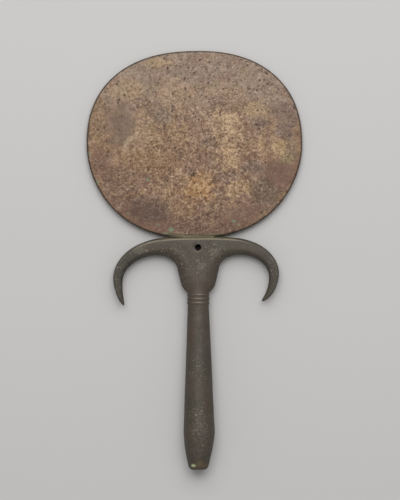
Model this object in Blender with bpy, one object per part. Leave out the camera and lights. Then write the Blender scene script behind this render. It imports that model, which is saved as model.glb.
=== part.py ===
"""A bronze hand mirror: an oval disk with a tang, seated in a handle cast in one with its horns.

Units are metres. The mirror is drawn flat, in its own frame: +X to the right, +Y towards the disk,
+Z out of the front, with the head of the handle at the middle. An empty then lays it on the ground,
where it rests on the swell of the grip and on the far edge of the disk.
"""

import math

import bmesh
import bpy
import numpy as np

# Disk: an egg-shaped oval, measured from its widest line
DISK_WIDTH = 0.1252
DISK_CROWN = 0.0545
DISK_BELLY = 0.0542
CROWN_FULLNESS = 2.32
BELLY_FULLNESS_ACROSS = 2.4
BELLY_FULLNESS_DOWN = 1.9
DISK_THICKNESS = 0.0028
DISK_EDGE_THICKNESS = 0.0024
RIM_ROUNDING = 0.0012
DISK_TURN = math.radians(1.5)

# Tang of the disk, hidden in the head
TANG_LENGTH = 0.0135
TANG_ROOT_WIDTH = 0.0180
TANG_END_WIDTH = 0.0130
TANG_THICKNESS = 0.0019
TANG_OVERLAP = 0.0060

# Grip, measured up from the butt
BUTT_RADIUS = 0.0052
BUTT_EDGE_ROUNDING = 0.0021
BUTT_ROUNDING = 0.0235
BUTT_FULLNESS = 1.5
BUTT_SHIFT = 0.0005
SWELL_RADIUS = 0.00904
GRIP_TOP = 0.0955
GRIP_TOP_RADIUS = 0.00605
NECK_FLATTENING = 0.08

# Rings at the neck
RING_COUNT = 3
RING_PITCH = 0.00233
RING_RADIUS = 0.0065
GROOVE_DEPTH = 0.0004

# Head: a cup above the rings, flaring into the beam that carries the horns
CUP_HALF_WIDTH = 0.0087
CUP_ROUNDING = 0.0065
CUP_FULLNESS = 3.0
HEAD_HALF_WIDTH = 0.0120
HEAD_THICKNESS = 0.0100
HEAD_EDGE_ROUNDING = 0.0060
ARCH_DEPTH = 0.0081
ARCH_FULLNESS = 1.9
BEAM_HEIGHT = 0.12895
BEAM_DEPTH = 0.0093
CREST_RISE = 0.0015
CREST_SPAN = 0.0320

# Horns: reach, drop to the widest point, fullness of the bend, radius and angle of the tip;
# the left one is the longer
HORN_ROOT = 0.0232
HORN_TAPER = 0.46
LEFT_REACH = 0.0465
LEFT_DROP = 0.01845
LEFT_FULLNESS = 1.88
LEFT_TIP_RADIUS = 0.0355
LEFT_TIP_ANGLE = math.radians(25.0)
RIGHT_REACH = 0.0439
RIGHT_DROP = 0.0164
RIGHT_FULLNESS = 1.96
RIGHT_TIP_RADIUS = 0.0198
RIGHT_TIP_ANGLE = math.radians(49.5)

# Bevel along the outer edge of the horns and the crest, ending in an arris
FACET_SHARE = 0.14
FACET_HEIGHT_SHARE = 0.90
SHOULDER_SHARE = 0.62
INNER_ROUNDING_SHARE = 0.36

# Joint of disk and handle
SEAT_DEPTH = 0.00075
SOCKET_GAP = 0.0003
RIVET_DIAMETER = 0.0038
RIVET_BELOW_DISK = 0.0056
RIVET_BACK_WALL = 0.0015
HANDLE_OFFSET = 0.00205
HANDLE_LEAN = math.radians(0.34)

# Small flats that the mirror lies on, under the grip and under the far rim
GRIP_FLAT_DEPTH = 0.0002
RIM_FLAT_DEPTH = 0.00005

# Fineness of the surfaces
OUTLINE_POINTS = 112
RIM_STEPS = 3
FACE_RINGS = 3
ACROSS = 16
ROOT_STEPS = 4
HORN_STEPS = 18
BEAM_COLUMNS = 7
EDGE_SAMPLES = 160
ROWS_PER_RING = 5
WELD = 0.000002

DISK_COLOUR = (0.235, 0.150, 0.098, 1.0)
HANDLE_COLOUR = (0.078, 0.068, 0.052, 1.0)

ring_band_top = GRIP_TOP + RING_COUNT * RING_PITCH
arch_top = BEAM_HEIGHT - BEAM_DEPTH / 2
arch_foot = arch_top - ARCH_DEPTH
join_height = arch_foot + ARCH_DEPTH * 0.5 ** (1.0 / ARCH_FULLNESS)
crest_height = BEAM_HEIGHT + BEAM_DEPTH / 2 + CREST_RISE
disk_centre = crest_height - BEAM_HEIGHT - SEAT_DEPTH + DISK_BELLY
disk_bottom = disk_centre - DISK_BELLY


def clear_scene():
    for thing in list(bpy.data.objects):
        bpy.data.objects.remove(thing, do_unlink=True)


def ease(t):
    """A step from 0 to 1 with level ends."""
    t = np.clip(t, 0.0, 1.0)
    return t * t * (3.0 - 2.0 * t)


def grip_radius(y):
    """A straight taper from the neck to the swell, drawn in below it to a butt with a rounded edge."""
    taper = (SWELL_RADIUS - GRIP_TOP_RADIUS) / (GRIP_TOP - BUTT_ROUNDING)
    line = GRIP_TOP_RADIUS + taper * (GRIP_TOP - y)
    line_at_butt = GRIP_TOP_RADIUS + taper * GRIP_TOP
    below = np.clip(1.0 - y / BUTT_ROUNDING, 0.0, None)
    drawn_in = (line_at_butt - BUTT_RADIUS) * below**BUTT_FULLNESS
    edge = BUTT_EDGE_ROUNDING * (1.0 - rounded(y, BUTT_EDGE_ROUNDING))
    return line - drawn_in - edge


def ring_radius(y):
    """Rings of equal pitch, parted by narrow grooves."""
    wave = np.cos(math.pi * (y - GRIP_TOP) / RING_PITCH) ** 4
    return RING_RADIUS - GROOVE_DEPTH * wave


def neck_radius(y):
    return np.where(y < GRIP_TOP, grip_radius(y), ring_radius(np.minimum(y, ring_band_top)))


def half_width(y):
    """Half the width of the grip, rings, cup and flare, up to the join with the beam."""
    neck = neck_radius(y)
    up = (y - ring_band_top) / (arch_foot - ring_band_top)
    side = CUP_HALF_WIDTH + (HEAD_HALF_WIDTH - CUP_HALF_WIDTH) * up
    bowl = 1.0 - (1.0 - np.clip((y - ring_band_top) / CUP_ROUNDING, 0.0, 1.0)) ** CUP_FULLNESS
    cup = neck + (side - neck) * bowl
    rise = np.clip((y - arch_foot) / ARCH_DEPTH, 0.0, 1.0)
    opening = (1.0 - rise**ARCH_FULLNESS) ** (1.0 / ARCH_FULLNESS)
    flare = HORN_ROOT - (HORN_ROOT - HEAD_HALF_WIDTH) * opening
    return np.where(y < ring_band_top, neck, np.where(y < arch_foot, cup, flare))


def half_depth(y):
    """Half the thickness: round at the swell, a little flattened at the rings, thinning to the head."""
    upwards = ease((y - BUTT_ROUNDING) / (GRIP_TOP - BUTT_ROUNDING))
    neck = neck_radius(y) * (1.0 - NECK_FLATTENING * upwards)
    thinning = np.clip((y - ring_band_top) / (join_height - ring_band_top), 0.0, 1.0)
    return neck + (HEAD_THICKNESS / 2 - neck) * thinning


def side_rounding(y):
    """Width of the rounded edge: the whole half width on the grip, a fixed width on the head."""
    share = ease((y - ring_band_top) / (join_height - ring_band_top))
    return half_width(y) * (1.0 - share) + HEAD_EDGE_ROUNDING * share


def horn_path(reach, drop, fullness, tip_radius, tip_angle):
    """Middle line of a right-hand horn: a quarter oval out and down, then an arc to the tip."""
    turn = np.linspace(0.0, math.pi / 2, EDGE_SAMPLES)
    span = reach - HORN_ROOT
    across, up = np.sin(turn), np.abs(np.cos(turn))
    power = 2.0 / fullness
    bend = np.stack([HORN_ROOT + span * across**power, BEAM_HEIGHT - drop * (1 - up**power)], 1)
    bend_normal = np.stack([drop * across ** (2 - power), span * up ** (2 - power)], 1)
    curl = np.linspace(0.0, tip_angle, EDGE_SAMPLES)[1:]
    tip = np.stack([reach - tip_radius * (1 - np.cos(curl)),
                    BEAM_HEIGHT - drop - tip_radius * np.sin(curl)], 1)
    tip_normal = np.stack([np.cos(curl), -np.sin(curl)], 1)
    points = np.concatenate([bend, tip])
    normals = np.concatenate([bend_normal, tip_normal])
    return points, normals / np.linalg.norm(normals, axis=1)[:, None]


def crest(distance):
    """Extra height of the outer edge over the head, fading out along the horns."""
    return CREST_RISE * (1.0 - np.clip(distance / CREST_SPAN, 0.0, 1.0) ** 3) ** 2


def horn_edges(sizes, steps):
    """Outer and inner edge of a right-hand horn, and its half width, from root to tip."""
    points, normals = horn_path(*sizes)
    along = np.concatenate([[0.0], np.cumsum(np.linalg.norm(np.diff(points, axis=0), axis=1))])
    share = np.sin(np.linspace(0.0, math.pi / 2, steps + 1))
    middle = np.stack([np.interp(share * along[-1], along, points[:, i]) for i in (0, 1)], 1)
    normal = np.stack([np.interp(share * along[-1], along, normals[:, i]) for i in (0, 1)], 1)
    half = BEAM_DEPTH / 2 * np.clip(1.0 - share, 0.0, 1.0) ** HORN_TAPER
    raised = half + crest(HORN_ROOT + share * along[-1]) * (1.0 - share)
    return middle + normal * raised[:, None], middle - normal * half[:, None], half


def root_edges(steps):
    """Outer and inner edge between the join and the horn's root, on the right."""
    angle = np.linspace(math.pi / 4, 0.0, steps + 1)[:-1]
    power = 2.0 / ARCH_FULLNESS
    x = HORN_ROOT - (HORN_ROOT - HEAD_HALF_WIDTH) * np.sin(angle) ** power
    inner = np.stack([x, arch_foot + ARCH_DEPTH * np.cos(angle) ** power], 1)
    outer = np.stack([x, BEAM_HEIGHT + BEAM_DEPTH / 2 + crest(x)], 1)
    return outer, inner


def head_edges(columns):
    """Crest and join line across the head."""
    x = half_width(join_height) * columns
    outer = np.stack([x, BEAM_HEIGHT + BEAM_DEPTH / 2 + crest(np.abs(x))], 1)
    inner = np.stack([x, np.full_like(x, join_height)], 1)
    return outer, inner


def mirrored(points):
    return points[::-1] * (-1.0, 1.0)


LEFT_HORN = (LEFT_REACH, LEFT_DROP, LEFT_FULLNESS, LEFT_TIP_RADIUS, LEFT_TIP_ANGLE)
RIGHT_HORN = (RIGHT_REACH, RIGHT_DROP, RIGHT_FULLNESS, RIGHT_TIP_RADIUS, RIGHT_TIP_ANGLE)


def inner_line(sizes):
    """Everything below the horn on the right: grip, cup, flare, arch and the horn's inside."""
    y = np.linspace(0.0, join_height, 2 * EDGE_SAMPLES)
    side = np.stack([half_width(y), y], 1)
    root = root_edges(EDGE_SAMPLES // 8)[1][1:]
    return np.concatenate([side, root, horn_edges(sizes, EDGE_SAMPLES)[1]])


def outer_line():
    """The crest from tip to tip."""
    left = mirrored(horn_edges(LEFT_HORN, EDGE_SAMPLES)[0])
    right = horn_edges(RIGHT_HORN, EDGE_SAMPLES)[0]
    x = np.linspace(-HORN_ROOT, HORN_ROOT, EDGE_SAMPLES)[1:-1]
    middle = np.stack([x, BEAM_HEIGHT + BEAM_DEPTH / 2 + crest(np.abs(x))], 1)
    return np.concatenate([left, middle, right])


def distance_to(points, line):
    """Distance from each point to a line of short straight pieces."""
    start = line[:-1]
    run = line[1:] - start
    offset = points[:, None, :] - start[None]
    length2 = np.maximum((run**2).sum(1), 1e-18)
    share = np.clip((offset * run).sum(2) / length2, 0.0, 1.0)
    return np.linalg.norm(offset - share[..., None] * run, axis=2).min(1)


def rounded(distance, width):
    """Quarter round: 0 at the edge, 1 once the distance reaches the width."""
    share = np.clip(distance / width, 0.0, 1.0)
    return np.sqrt(1.0 - (1.0 - share) ** 2)


def bevelled(distance, facet, width):
    """A steep flat facet up to the arris, then a rounded shoulder."""
    beyond = rounded(np.clip(distance - facet, 0.0, None), np.maximum(width - facet, 1e-9))
    slope = FACET_HEIGHT_SHARE * distance / facet
    return np.where(distance < facet, slope, FACET_HEIGHT_SHARE + (1 - FACET_HEIGHT_SHARE) * beyond)


def heights(plan, depth, inner_width, facet, shoulder):
    """Height of the front surface over the middle plane at every point of a plan grid."""
    flat = plan.reshape(-1, 2)
    shape = plan.shape[:2]
    below = np.minimum(distance_to(flat, inner_line(RIGHT_HORN)),
                       distance_to(flat, mirrored(inner_line(LEFT_HORN)))).reshape(shape)
    above = distance_to(flat, outer_line()).reshape(shape)
    return depth * rounded(below, inner_width) * bevelled(above, facet, shoulder)


def grip_rows():
    """Heights of the rows on grip, rings, cup and flare."""
    edge = BUTT_EDGE_ROUNDING * (1.0 - np.cos(np.linspace(0.0, math.pi / 2, 5)))
    butt = np.linspace(BUTT_EDGE_ROUNDING, BUTT_ROUNDING, 8)[1:]
    shaft = np.linspace(BUTT_ROUNDING, GRIP_TOP, 5)[1:]
    rings = np.linspace(GRIP_TOP, ring_band_top, RING_COUNT * ROWS_PER_RING + 1)[1:]
    cup = ring_band_top + CUP_ROUNDING * np.linspace(0.0, 1.0, 8)[1:] ** 1.2
    side = np.linspace(cup[-1], arch_foot, 4)[1:]
    turn = np.linspace(0.0, math.pi / 4, 6)[1:]
    flare = arch_foot + ARCH_DEPTH * np.sin(turn) ** (2.0 / ARCH_FULLNESS)
    return np.concatenate([edge, butt, shaft, rings, cup, side, flare])


def beam_sizes(half):
    """Depth, inner rounding, facet and shoulder of the beam where its half width is given."""
    scale = np.maximum(half / (BEAM_DEPTH / 2), 1e-6)
    width = 2 * np.maximum(half, 1e-7)
    return (HEAD_THICKNESS / 2 * scale, INNER_ROUNDING_SHARE * width,
            FACET_SHARE * width, SHOULDER_SHARE * width)


def front_of_grip(columns):
    y = grip_rows()
    plan = np.stack(np.broadcast_arrays(half_width(y)[:, None] * columns, y[:, None]), 2)
    _, _, facet, shoulder = beam_sizes(BEAM_DEPTH / 2)
    z = heights(plan, half_depth(y)[:, None], side_rounding(y)[:, None], facet, shoulder)
    below_swell = y < BUTT_ROUNDING
    z[below_swell] = half_depth(y[below_swell])[:, None] * np.sqrt(1.0 - columns**2)
    z[:, [0, -1]] = 0.0
    plan[..., 0] -= BUTT_SHIFT * ease(1.0 - y / BUTT_ROUNDING)[:, None]
    return np.dstack([plan, z])


def front_of_beam(columns):
    """The beam and both horns from tip to tip, each rung running from the outer to the inner edge."""
    left_outer, left_inner, left_half = horn_edges(LEFT_HORN, HORN_STEPS)
    right_outer, right_inner, right_half = horn_edges(RIGHT_HORN, HORN_STEPS)
    root_outer, root_inner = root_edges(ROOT_STEPS)
    head_outer, head_inner = head_edges(columns)
    outer = np.concatenate([mirrored(left_outer), mirrored(root_outer), head_outer[1:-1],
                            root_outer, right_outer])
    inner = np.concatenate([mirrored(left_inner), mirrored(root_inner), head_inner[1:-1],
                            root_inner, right_inner])
    head = len(columns) - 2 + 2 * ROOT_STEPS
    half = np.concatenate([left_half[::-1], np.full(head, BEAM_DEPTH / 2), right_half])
    depth, horn_rounding, facet, shoulder = beam_sizes(half)
    x = np.abs(outer[:, 0])
    towards_root = ease((x - half_width(join_height)) / (HORN_ROOT - half_width(join_height)))
    inner_width = HEAD_EDGE_ROUNDING * (1 - towards_root) + horn_rounding * towards_root
    length = np.maximum(np.linalg.norm(inner - outer, axis=1), 1e-9)
    arris = np.minimum(facet / length, 0.5)[:, None]
    spread = np.sin(np.linspace(0.0, math.pi / 2, BEAM_COLUMNS))
    share = np.concatenate([np.zeros_like(arris), arris + (1 - arris) * spread], 1)[..., None]
    plan = outer[:, None] * (1 - share) + inner[:, None] * share
    z = heights(plan, depth[:, None], inner_width[:, None], facet[:, None], shoulder[:, None])
    z[:, 0] = 0.0
    on_head = np.zeros(len(outer), bool)
    first = HORN_STEPS + 1 + ROOT_STEPS
    on_head[first:first + len(columns) - 2] = True
    z[~on_head, -1] = 0.0
    return np.dstack([plan, z])


def add_sheet(bm, grid):
    """Put a grid of points into the mesh as quads."""
    rows, columns = grid.shape[:2]
    verts = [[bm.verts.new(point) for point in row] for row in grid.tolist()]
    for i in range(rows - 1):
        for j in range(columns - 1):
            bm.faces.new((verts[i][j], verts[i][j + 1], verts[i + 1][j + 1], verts[i + 1][j]))


def finish_mesh(bm, name):
    """Weld the seams, close what is open, turn the faces outwards and shade the piece smooth."""
    bmesh.ops.remove_doubles(bm, verts=bm.verts, dist=WELD)
    bmesh.ops.dissolve_degenerate(bm, edges=bm.edges, dist=WELD)
    bmesh.ops.holes_fill(bm, edges=[edge for edge in bm.edges if edge.is_boundary])
    bmesh.ops.recalc_face_normals(bm, faces=bm.faces)
    mesh = bpy.data.meshes.new(name)
    bm.to_mesh(mesh)
    bm.free()
    mesh.shade_smooth()
    mesh.set_sharp_from_angle(angle=math.radians(35.0))
    return mesh


def handle_mesh():
    """Grip and beam as two front sheets and their mirror images, welded along the edges."""
    columns = -np.cos(np.linspace(0.0, math.pi, ACROSS + 1))
    bm = bmesh.new()
    for sheet in (front_of_grip(columns), front_of_beam(columns)):
        sheet[..., 1] -= BEAM_HEIGHT
        add_sheet(bm, sheet)
        add_sheet(bm, sheet * (1.0, 1.0, -1.0))
    return finish_mesh(bm, "handle")


def oval(extra):
    """Outline of the disk, made larger by extra all round, from the right-hand end anticlockwise."""
    angle = np.linspace(0.0, 2 * math.pi, OUTLINE_POINTS, endpoint=False)
    across, up = np.cos(angle), np.sin(angle)
    crown = up >= 0
    x_power = 2.0 / np.where(crown, CROWN_FULLNESS, BELLY_FULLNESS_ACROSS)
    y_power = 2.0 / np.where(crown, CROWN_FULLNESS, BELLY_FULLNESS_DOWN)
    reach = np.where(crown, DISK_CROWN, DISK_BELLY) + extra
    x = (DISK_WIDTH / 2 + extra) * np.sign(across) * np.abs(across) ** x_power
    y = reach * np.sign(up) * np.abs(up) ** y_power
    return np.stack([x, y], 1)


def disk_mesh(name, extra):
    """Two gently crowned faces and a rounded rim; extra thickens it too, for a cutter."""
    outline = oval(extra)
    run = np.roll(outline, -1, axis=0) - np.roll(outline, 1, axis=0)
    inward = np.stack([-run[:, 1], run[:, 0]], 1) / np.linalg.norm(run, axis=1)[:, None]
    edge = DISK_EDGE_THICKNESS / 2 + extra
    middle = DISK_THICKNESS / 2 + extra
    rows = []
    for angle in np.linspace(0.0, math.pi / 2, RIM_STEPS + 1):
        plan = outline + inward * RIM_ROUNDING * (1.0 - math.cos(angle))
        rows.append(np.column_stack([plan, np.full(len(plan), edge * math.sin(angle))]))
    inset = rows[-1][:, :2]
    for ring in range(FACE_RINGS - 1, -1, -1):
        share = ring / FACE_RINGS
        z = edge + (middle - edge) * (1.0 - share**2)
        rows.append(np.column_stack([inset * share, np.full(len(inset), z)]))
    grid = np.stack(rows)
    grid = np.concatenate([grid, grid[:, :1]], 1)
    bm = bmesh.new()
    add_sheet(bm, grid)
    add_sheet(bm, grid * (1.0, 1.0, -1.0))
    return finish_mesh(bm, name)


def tang_mesh(name, extra):
    """A tapered flat bar hanging from the middle of the disk's lower edge."""
    bm = bmesh.new()
    root, end = TANG_ROOT_WIDTH / 2 + extra, TANG_END_WIDTH / 2 + extra
    top, bottom = TANG_OVERLAP, -TANG_LENGTH - extra
    corners = [(-root, top), (-root, 0.0), (-end, bottom), (end, bottom), (root, 0.0), (root, top)]
    thick = TANG_THICKNESS / 2 + extra
    face = bm.faces.new([bm.verts.new((x, y, -thick)) for x, y in corners])
    raised = bmesh.ops.extrude_face_region(bm, geom=[face])["geom"]
    lifted = [item for item in raised if isinstance(item, bmesh.types.BMVert)]
    bmesh.ops.translate(bm, verts=lifted, vec=(0.0, 0.0, 2 * thick))
    return finish_mesh(bm, name)


def bar_mesh(name, low, high):
    """A plain block between two corners."""
    bm = bmesh.new()
    bmesh.ops.create_cube(bm, size=1.0)
    for vert in bm.verts:
        vert.co = [lo + (c + 0.5) * (hi - lo) for c, lo, hi in zip(vert.co, low, high)]
    return finish_mesh(bm, name)


def rivet_mesh(name):
    """A round bar from the back wall of the head to clear of its front."""
    low = -HEAD_THICKNESS / 2 + RIVET_BACK_WALL
    high = HEAD_THICKNESS
    bm = bmesh.new()
    bmesh.ops.create_cone(bm, cap_ends=True, segments=20, radius1=RIVET_DIAMETER / 2,
                          radius2=RIVET_DIAMETER / 2, depth=high - low)
    bmesh.ops.translate(bm, verts=bm.verts, vec=(0.0, 0.0, (high + low) / 2))
    return finish_mesh(bm, name)


def place(name, mesh, parent, location=(0.0, 0.0, 0.0), turn=0.0):
    thing = bpy.data.objects.new(name, mesh)
    bpy.context.collection.objects.link(thing)
    thing.parent = parent
    thing.location = location
    thing.rotation_euler = (0.0, 0.0, turn)
    return thing


def as_tool(thing):
    thing.hide_render = True
    thing.display_type = "WIRE"
    return thing


def combine(thing, tool, operation):
    modifier = thing.modifiers.new(f"{operation.lower()} {tool.name}", "BOOLEAN")
    modifier.object = tool
    modifier.operation = operation
    modifier.solver = "EXACT"


def bronze(name, colour, roughness):
    material = bpy.data.materials.new(name)
    material.use_nodes = True
    shader = material.node_tree.nodes["Principled BSDF"]
    shader.inputs["Base Color"].default_value = colour
    shader.inputs["Metallic"].default_value = 0.85
    shader.inputs["Roughness"].default_value = roughness
    material.diffuse_color = colour
    return material


def lay_down(frame):
    """Tilt the mirror onto its swell and far rim, and centre it over the ground's origin."""
    turned = oval(0.0) @ (math.sin(DISK_TURN), math.cos(DISK_TURN))
    disk_top = disk_centre + float(turned.max())
    far_rim = disk_top - RIM_ROUNDING
    rim_depth = DISK_EDGE_THICKNESS / 2 - RIM_FLAT_DEPTH
    y = np.linspace(0.0, join_height, 4 * EDGE_SAMPLES)
    drop = half_depth(y) - GRIP_FLAT_DEPTH - rim_depth
    tilt = math.atan(float(np.max(drop / (far_rim - (y - BEAM_HEIGHT)))))
    middle = (disk_top - BEAM_HEIGHT) / 2
    lift = far_rim * math.sin(tilt) + rim_depth * math.cos(tilt)
    frame.rotation_euler = (-tilt, 0.0, 0.0)
    frame.location = (0.0, -middle * math.cos(tilt), lift)


def build():
    clear_scene()
    frame = bpy.data.objects.new("mirror_frame", None)
    bpy.context.collection.objects.link(frame)
    lay_down(frame)

    tang_at = (HANDLE_OFFSET, disk_bottom, 0.0)
    disk_at = (0.0, disk_centre, 0.0)
    disk = place("mirror_disk", disk_mesh("mirror_disk", 0.0), frame, disk_at, DISK_TURN)
    handle = place("handle", handle_mesh(), frame, (HANDLE_OFFSET, 0.0, 0.0), HANDLE_LEAN)
    tang = as_tool(place("tang", tang_mesh("tang", 0.0), frame, tang_at))
    seat = as_tool(place("seat", disk_mesh("seat", SOCKET_GAP), frame, disk_at, DISK_TURN))
    socket = as_tool(place("socket", tang_mesh("socket", SOCKET_GAP), frame, tang_at))
    rivet_at = (HANDLE_OFFSET, disk_bottom - RIVET_BELOW_DISK, 0.0)
    rivet = as_tool(place("rivet_hole", rivet_mesh("rivet_hole"), frame, rivet_at))
    below = (-DISK_WIDTH, -DISK_WIDTH * 2, -DISK_WIDTH)
    above = (DISK_WIDTH, DISK_WIDTH * 2, 0.0)
    ground = as_tool(place("ground", bar_mesh("ground", below, above), None))

    combine(disk, tang, "UNION")
    for tool in (rivet, ground):
        combine(disk, tool, "DIFFERENCE")
    for tool in (seat, socket, rivet, ground):
        combine(handle, tool, "DIFFERENCE")
    disk.data.materials.append(bronze("disk bronze", DISK_COLOUR, 0.5))
    handle.data.materials.append(bronze("handle bronze", HANDLE_COLOUR, 0.45))


build()
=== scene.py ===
# %% [markdown]
# # An old bronze hand mirror
# The real mirror is two castings. The first is an oval disk, polished on both sides when it was
# new, with a short tang. The second is the handle, cast in one with a pair of curved horns and
# slotted to take the disk. This lesson keeps the plain solids as a frame and builds a fine surface
# over each. It goes from the outline to the relief, then to the finish of each piece, and last to
# floor and light.

# %% Load the frame
import math

import bmesh
import bpy
import numpy as np
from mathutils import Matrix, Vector


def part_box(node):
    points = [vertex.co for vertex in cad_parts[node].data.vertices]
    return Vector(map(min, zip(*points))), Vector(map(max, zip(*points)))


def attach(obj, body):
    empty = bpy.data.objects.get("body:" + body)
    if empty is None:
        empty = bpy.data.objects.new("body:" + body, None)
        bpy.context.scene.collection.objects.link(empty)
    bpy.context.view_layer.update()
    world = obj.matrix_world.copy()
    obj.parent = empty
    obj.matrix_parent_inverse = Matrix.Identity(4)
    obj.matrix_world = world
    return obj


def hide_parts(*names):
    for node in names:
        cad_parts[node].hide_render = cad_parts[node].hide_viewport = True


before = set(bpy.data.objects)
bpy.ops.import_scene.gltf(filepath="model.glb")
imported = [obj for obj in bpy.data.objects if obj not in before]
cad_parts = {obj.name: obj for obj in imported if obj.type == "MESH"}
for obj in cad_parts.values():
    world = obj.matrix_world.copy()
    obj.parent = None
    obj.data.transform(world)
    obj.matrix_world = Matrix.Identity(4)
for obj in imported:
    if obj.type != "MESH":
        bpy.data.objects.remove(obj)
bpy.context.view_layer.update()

# %% [markdown]
# ## The handle's outline
# A cast handle starts as a drawing of one half, so it is worked out as half widths up its middle
# line. The grip is a straight taper that rounds in to the butt, then come three rings, a cup and
# the flare of the head. The sizes are those of the solid, in metres, measured up from the butt.

# %% Sizes of the handle
BUTT_RADIUS, BUTT_EDGE_ROUNDING, BUTT_SHIFT = 0.0052, 0.0021, 0.0005
BUTT_ROUNDING, BUTT_FULLNESS, SWELL_RADIUS = 0.0235, 1.5, 0.00904
GRIP_TOP, GRIP_TOP_RADIUS = 0.0955, 0.00605
NECK_FLATTENING = 0.08
RING_COUNT, RING_PITCH, RING_RADIUS, GROOVE_DEPTH = 3, 0.00233, 0.0065, 0.0004
CUP_HALF_WIDTH, CUP_ROUNDING, CUP_FULLNESS = 0.0087, 0.0065, 3.0
HEAD_HALF_WIDTH, HEAD_THICKNESS, HEAD_EDGE_ROUNDING = 0.0120, 0.0100, 0.0060
ARCH_DEPTH, ARCH_FULLNESS = 0.0081, 1.9
BEAM_HEIGHT, BEAM_DEPTH = 0.12895, 0.0093
CREST_RISE, CREST_SPAN = 0.0015, 0.0320
HORN_ROOT, HORN_TAPER = 0.0232, 0.46
HANDLE_OFFSET, HANDLE_LEAN = 0.00205, math.radians(0.34)

ring_band_top = GRIP_TOP + RING_COUNT * RING_PITCH
arch_top = BEAM_HEIGHT - BEAM_DEPTH / 2
arch_foot = arch_top - ARCH_DEPTH
join_height = arch_foot + ARCH_DEPTH * 0.5 ** (1.0 / ARCH_FULLNESS)
crest_height = BEAM_HEIGHT + BEAM_DEPTH / 2 + CREST_RISE
print("rings end at", round(ring_band_top, 4), "and the grip at", round(join_height, 4))

# %% [markdown]
# The grip is drawn by a few small formulas: a straight line, a quarter round, a power and a cosine.
# A traced curve would look the same, but these can be changed by one size at a time. The depth
# follows the width, flattened at the rings and thinning to the head.

# %% Half widths and half depths of the grip
def ease(t):
    """A step from 0 to 1 with level ends: three times the square less twice the cube."""
    t = np.clip(t, 0.0, 1.0)
    return t * t * (3.0 - 2.0 * t)


def rounded(distance, width):
    """Quarter round: 0 at the edge, 1 once the distance reaches the width."""
    return np.sqrt(1.0 - (1.0 - np.clip(distance / width, 0.0, 1.0)) ** 2)


def neck_radius(y):
    """A straight taper, drawn in below the swell by a power of the way down and rounded at the edge
    of the butt; above the grip, crests parted by grooves that follow a cosine's fourth power."""
    taper = (SWELL_RADIUS - GRIP_TOP_RADIUS) / (GRIP_TOP - BUTT_ROUNDING)
    at_butt = GRIP_TOP_RADIUS + taper * GRIP_TOP
    below = np.clip(1.0 - y / BUTT_ROUNDING, 0.0, None)
    edge = BUTT_EDGE_ROUNDING * (1.0 - rounded(y, BUTT_EDGE_ROUNDING))
    grip = at_butt - taper * y - (at_butt - BUTT_RADIUS) * below**BUTT_FULLNESS - edge
    groove = np.cos(math.pi * (np.minimum(y, ring_band_top) - GRIP_TOP) / RING_PITCH) ** 4
    return np.where(y < GRIP_TOP, grip, RING_RADIUS - GROOVE_DEPTH * groove)


def half_width(y):
    """The neck, then a bowl that swells to the cup's side, then a quarter oval out to the horns."""
    neck = neck_radius(y)
    up_cup = (y - ring_band_top) / (arch_foot - ring_band_top)
    side = CUP_HALF_WIDTH + (HEAD_HALF_WIDTH - CUP_HALF_WIDTH) * up_cup
    bowl = 1.0 - (1.0 - np.clip((y - ring_band_top) / CUP_ROUNDING, 0.0, 1.0)) ** CUP_FULLNESS
    rise = np.clip((y - arch_foot) / ARCH_DEPTH, 0.0, 1.0)
    opening = (1.0 - rise**ARCH_FULLNESS) ** (1.0 / ARCH_FULLNESS)
    flare = HORN_ROOT - (HORN_ROOT - HEAD_HALF_WIDTH) * opening
    cup = neck + (side - neck) * bowl
    return np.where(y < ring_band_top, neck, np.where(y < arch_foot, cup, flare))


def up_the_head(y):
    """0 at the top of the rings, 1 where the grip meets the beam."""
    return np.clip((y - ring_band_top) / (join_height - ring_band_top), 0.0, 1.0)


def half_depth(y):
    """Round at the swell, flattened a little at the rings, thinning to the flat head."""
    upwards = ease((y - BUTT_ROUNDING) / (GRIP_TOP - BUTT_ROUNDING))
    neck = neck_radius(y) * (1.0 - NECK_FLATTENING * upwards)
    return neck + (HEAD_THICKNESS / 2 - neck) * up_the_head(y)


heights_up = np.linspace(0.0, join_height, 7)
print("half widths, mm:", np.round(half_width(heights_up) * 1000, 2).tolist())

# %% [markdown]
# ## The horns
# Each horn is a round bar that bends out and down and thins to a blunt tip. A bar like this could
# be a curve with a bevel, but the horn's section isn't round: it has a flat facet along its
# outside. So its middle line is worked out as points and normals, and the two edges lie on either
# side of it.

# %% Middle line and edges of a horn
EDGE_SAMPLES = 240
LEFT_HORN = dict(reach=0.0465, drop=0.01845, fullness=1.88,
                 tip_radius=0.0355, tip_angle=math.radians(25.0))
RIGHT_HORN = dict(reach=0.0439, drop=0.0164, fullness=1.96,
                  tip_radius=0.0198, tip_angle=math.radians(49.5))


def horn_path(reach, drop, fullness, tip_radius, tip_angle):
    """A quarter oval (powers of sine and cosine) out and down, then an arc of a circle to the tip;
    gives the middle line and its outward normals."""
    turn = np.linspace(0.0, math.pi / 2, EDGE_SAMPLES)
    across, up, power = np.sin(turn), np.abs(np.cos(turn)), 2.0 / fullness
    span = reach - HORN_ROOT
    bend = np.stack([HORN_ROOT + span * across**power, BEAM_HEIGHT - drop * (1 - up**power)], 1)
    bend_normal = np.stack([drop * across ** (2 - power), span * up ** (2 - power)], 1)
    curl = np.linspace(0.0, tip_angle, EDGE_SAMPLES)[1:]
    tip = np.stack([reach - tip_radius * (1 - np.cos(curl)),
                    BEAM_HEIGHT - drop - tip_radius * np.sin(curl)], 1)
    tip_normal = np.stack([np.cos(curl), -np.sin(curl)], 1)
    normals = np.concatenate([bend_normal, tip_normal])
    return np.concatenate([bend, tip]), normals / np.linalg.norm(normals, axis=1)[:, None]


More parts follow.
